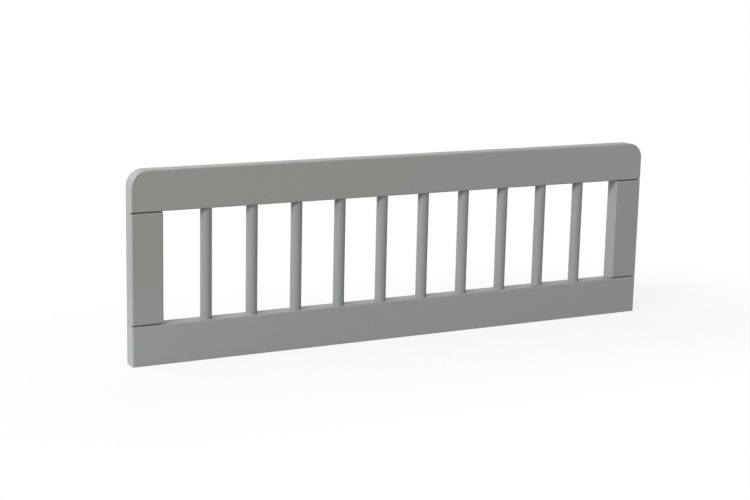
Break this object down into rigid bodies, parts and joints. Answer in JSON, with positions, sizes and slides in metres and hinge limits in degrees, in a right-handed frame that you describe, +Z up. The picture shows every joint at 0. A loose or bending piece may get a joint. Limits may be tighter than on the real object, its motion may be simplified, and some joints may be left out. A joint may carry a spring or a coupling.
{
  "type": "toddler bed guard rail",
  "caption": "Low painted guard rail for a toddler bed: a top rail with rounded corners and a bottom rail, joined by end stiles and a row of round spindles.",
  "frame": {"origin": "centre of the bottom edge, at the level the rail stands on", "axes": "+X along the rail, +Y from the room side to the bed side, +Z up"},
  "size_m": [0.915, 0.026, 0.295],
  "materials": {
    "painted_wood": "satin grey paint, sprayed",
    "beech": "bare, ridged",
    "zinc_plate": "zinc plated"
  },
  "bodies": {
    "root": {"top_rail": "painted_wood", "bottom_rail": "painted_wood", "left_stile": "painted_wood", "right_stile": "painted_wood", "spindle_01": "painted_wood", "spindle_02": "painted_wood", "spindle_03": "painted_wood", "spindle_04": "painted_wood", "spindle_05": "painted_wood", "spindle_06": "painted_wood", "spindle_07": "painted_wood", "spindle_08": "painted_wood", "spindle_09": "painted_wood", "spindle_10": "painted_wood", "dowel_pins_top_left": "beech", "dowel_pins_top_right": "beech", "dowel_pins_bottom_left": "beech", "dowel_pins_bottom_right": "beech", "threaded_inserts_left": "zinc_plate", "threaded_inserts_right": "zinc_plate"}
  },
  "joints": []
}
